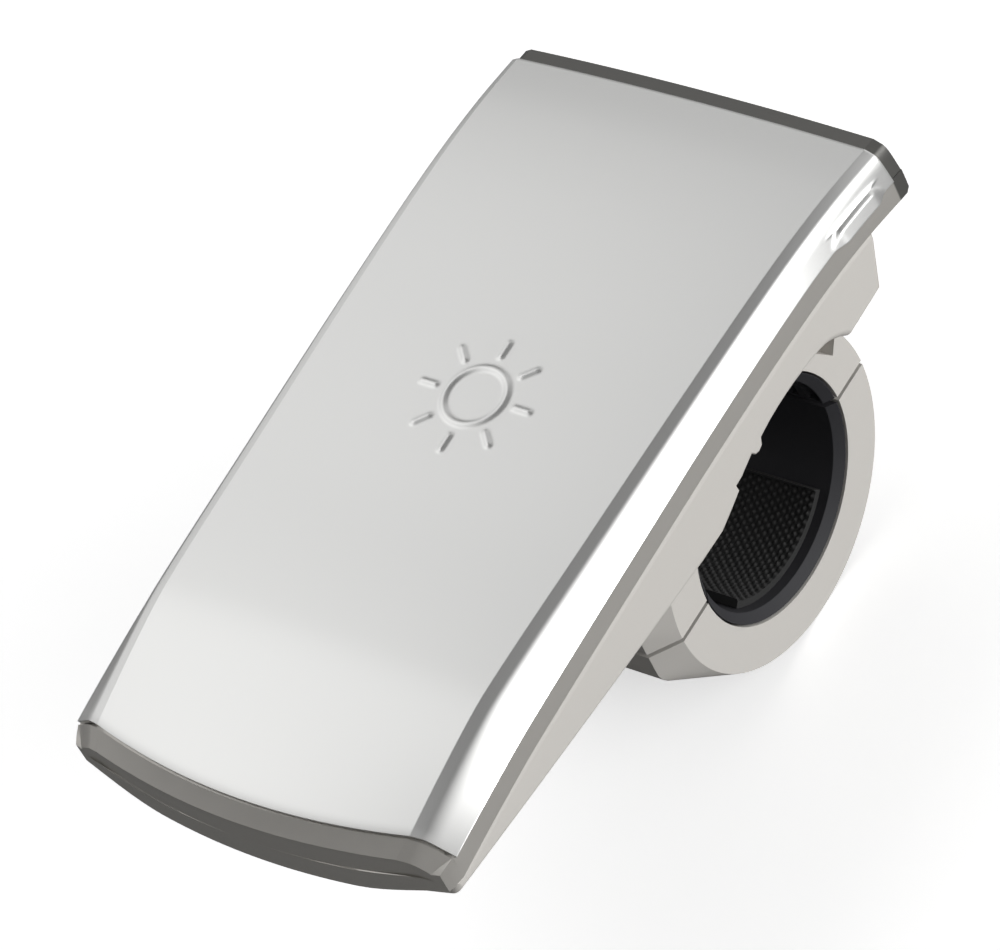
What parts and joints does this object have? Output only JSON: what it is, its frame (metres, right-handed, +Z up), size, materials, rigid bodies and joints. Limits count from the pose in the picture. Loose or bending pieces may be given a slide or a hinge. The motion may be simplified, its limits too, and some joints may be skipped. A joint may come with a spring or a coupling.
{
  "type": "clamp-on handle light",
  "caption": "Battery light with an arched brushed-steel cover, a wedge housing with a light window below, and a hinged two-half ring clamp for a round handle bar.",
  "frame": {"origin": "centre of the clamp ring's bore, on the axis of the bar it holds", "axes": "+X along the bar, +Y from the thin front end of the light to its back end, +Z up through the steel cover; symmetric about X = 0"},
  "size_m": [0.0654, 0.1229, 0.0651],
  "materials": {
    "brushed_cover": "stainless sheet brushed across its width",
    "silver_plastic": "warm silver-grey satin paint",
    "black_plastic": "fine satin texture",
    "grip_rubber": "matte, diamond texture on the grip pad",
    "zinc_steel": "bright zinc plating",
    "nickel_contact": "nickel plating",
    "bright_reflector": "metallised",
    "clear_lens": "clear moulded window",
    "board_green": "solder mask",
    "led_yellow": "phosphor face",
    "cell_wrap": "plain printed sleeve"
  },
  "bodies": {
    "housing": {"upper_frame": "silver_plastic", "lower_housing": "silver_plastic", "clamp_saddle": "silver_plastic", "upper_liner": "black_plastic", "hinge_pin": "zinc_steel", "ear_nut": "zinc_steel", "battery_tray": "black_plastic", "reflector": "bright_reflector", "lens_window": "clear_lens", "lens_gasket": "grip_rubber", "circuit_board": "board_green", "tact_switch": "black_plastic", "tilt_switch": "zinc_steel", "led_left": "led_yellow", "battery_left": "cell_wrap", "contact_spring_left": "nickel_contact", "spring_plate_left": "nickel_contact", "nub_contact_left": "nickel_contact", "led_middle": "led_yellow", "battery_middle": "cell_wrap", "contact_spring_middle": "nickel_contact", "spring_plate_middle": "nickel_contact", "nub_contact_middle": "nickel_contact", "led_right": "led_yellow", "battery_right": "cell_wrap", "contact_spring_right": "nickel_contact", "spring_plate_right": "nickel_contact", "nub_contact_right": "nickel_contact", "housing_screw_front_left": "zinc_steel", "saddle_screw_front_left": "zinc_steel", "housing_screw_front_right": "zinc_steel", "saddle_screw_front_right": "zinc_steel", "housing_screw_back_left": "zinc_steel", "saddle_screw_back_left": "zinc_steel", "housing_screw_back_right": "zinc_steel", "saddle_screw_back_right": "zinc_steel"},
    "cover": {"steel_cover": "brushed_cover"},
    "cap": {"clamp_cap": "silver_plastic", "lower_liner": "black_plastic", "grip_pad": "grip_rubber", "screw_washer": "zinc_steel"},
    "screw": {"clamp_screw": "zinc_steel"},
    "button": {"power_button": "grip_rubber"}
  },
  "joints": [
    {"name": "cover_tilt", "type": "hinge", "parent": "housing", "child": "cover", "pos_m": [0, -0.0835, 0.034], "axis": [1, 0, 0], "range_deg": [0, 45]},
    {"name": "cap_swing", "type": "hinge", "parent": "housing", "child": "cap", "pos_m": [0, 0.026, 0], "axis": [1, 0, 0], "range_deg": [0, 100]},
    {"name": "screw_turn", "type": "hinge", "parent": "cap", "child": "screw", "pos_m": [0, -0.0233, 0], "axis": [0, 0, 1], "continuous": true},
    {"name": "button_press", "type": "slide", "parent": "housing", "child": "button", "axis": [0, 0, 1], "range_m": [0, 0.0008], "stiffness_N_per_m": 400}
  ]
}
